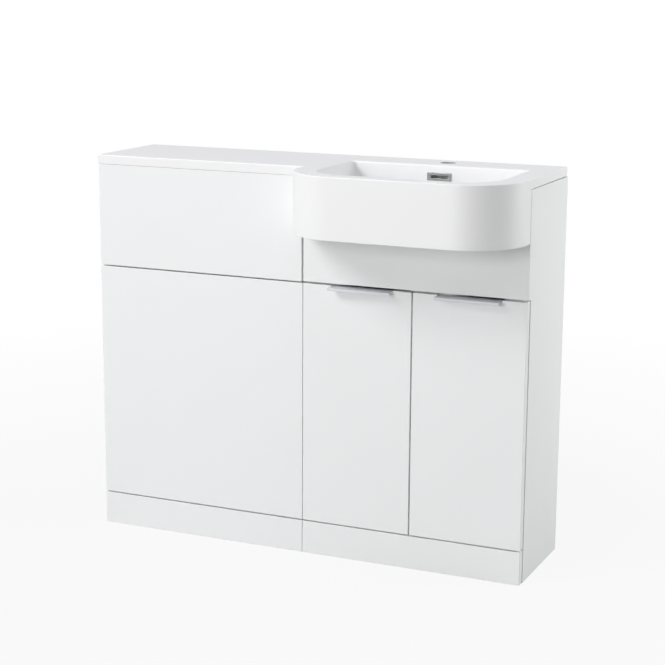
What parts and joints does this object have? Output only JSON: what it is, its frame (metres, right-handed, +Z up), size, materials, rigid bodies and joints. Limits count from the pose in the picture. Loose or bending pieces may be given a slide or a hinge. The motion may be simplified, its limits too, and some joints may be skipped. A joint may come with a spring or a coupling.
{
  "type": "toilet and basin combination unit",
  "caption": "Slim white back-to-wall toilet cabinet joined to a basin cabinet with doors, under one cast top whose deep D-shaped basin stands out in front.",
  "frame": {"origin": "on the floor, midway across the width and midway between the basin's front and the wall", "axes": "+X along the front to the right, with the toilet cabinet at -X and the basin cabinet at +X; +Y to the wall; +Z up"},
  "size_m": [1.002, 0.4, 0.85],
  "materials": {
    "lacquered_board": "white melamine-faced particle board, satin",
    "gloss_fronts": "white gloss lacquered board",
    "cast_marble": "cast mineral marble with a white gloss gel coat",
    "chrome_trim": "polished chrome plate",
    "handle_metal": "satin anodised",
    "fitting_steel": "nickel-plated steel",
    "fitting_plastic": "moulded white plastic",
    "bumper_plastic": "clear soft plastic",
    "dowel_wood": "bare beech"
  },
  "bodies": {
    "carcass": {"wc_side_left": "lacquered_board", "wc_side_right": "lacquered_board", "wc_rail_top_front": "lacquered_board", "wc_rail_top_back": "lacquered_board", "wc_rail_middle": "lacquered_board", "wc_rail_bottom": "lacquered_board", "wc_lower_panel": "gloss_fronts", "wc_plinth": "gloss_fronts", "fixed_front_studs": "fitting_plastic", "stud_sockets": "fitting_plastic", "vanity_side_left": "lacquered_board", "vanity_side_right": "lacquered_board", "vanity_base": "lacquered_board", "vanity_rail_front": "lacquered_board", "vanity_rail_back_top": "lacquered_board", "vanity_rail_back_bottom": "lacquered_board", "vanity_rail_plinth": "lacquered_board", "vanity_fascia": "gloss_fronts", "vanity_plinth": "gloss_fronts", "shelf": "lacquered_board", "shelf_pins": "fitting_steel", "hinge_arms": "fitting_steel", "hinge_pins": "fitting_steel", "hinge_plates": "fitting_steel", "plate_screws": "fitting_steel", "basin_top": "cast_marble", "overflow_cover": "chrome_trim", "overflow_elbow": "fitting_plastic", "unit_connectors": "fitting_steel", "wall_brackets": "fitting_steel", "bracket_screws": "fitting_steel", "cams": "fitting_steel", "cam_bolts": "fitting_steel", "dowels": "dowel_wood"},
    "door_left_body": {"door_left": "gloss_fronts", "handle_left": "handle_metal", "handle_screws_left": "fitting_steel", "hinge_cups_left": "fitting_steel", "cup_screws_left": "fitting_steel", "door_bumpers_left": "bumper_plastic"},
    "door_right_body": {"door_right": "gloss_fronts", "handle_right": "handle_metal", "handle_screws_right": "fitting_steel", "hinge_cups_right": "fitting_steel", "cup_screws_right": "fitting_steel", "door_bumpers_right": "bumper_plastic"},
    "links_left_body": {"hinge_links_left": "fitting_steel"},
    "links_right_body": {"hinge_links_right": "fitting_steel"},
    "access_panel_body": {"wc_upper_panel": "gloss_fronts", "upper_panel_studs": "fitting_plastic"}
  },
  "joints": [
    {"name": "door_left_swing", "type": "hinge", "parent": "carcass", "child": "door_left_body", "pos_m": [0.0075, -0.051, 0.339], "axis": [0, 0, -1], "range_deg": [0, 95]},
    {"name": "door_right_swing", "type": "hinge", "parent": "carcass", "child": "door_right_body", "pos_m": [0.4925, -0.051, 0.339], "axis": [0, 0, 1], "range_deg": [0, 95]},
    {"name": "links_left_swing", "type": "hinge", "parent": "carcass", "child": "links_left_body", "pos_m": [0.0335, -0.032, 0.339], "axis": [0, 0, 1], "range_deg": [0, 38]},
    {"name": "links_right_swing", "type": "hinge", "parent": "carcass", "child": "links_right_body", "pos_m": [0.4665, -0.032, 0.339], "axis": [0, 0, -1], "range_deg": [0, 38]},
    {"name": "access_panel_pull", "type": "slide", "parent": "carcass", "child": "access_panel_body", "axis": [0, -1, 0], "range_m": [0, 0.04]}
  ],
  "couplings": [
    {"joint": "links_left_swing", "follows": "door_left_swing", "ratio": 0.4},
    {"joint": "links_right_swing", "follows": "door_right_swing", "ratio": 0.4}
  ]
}
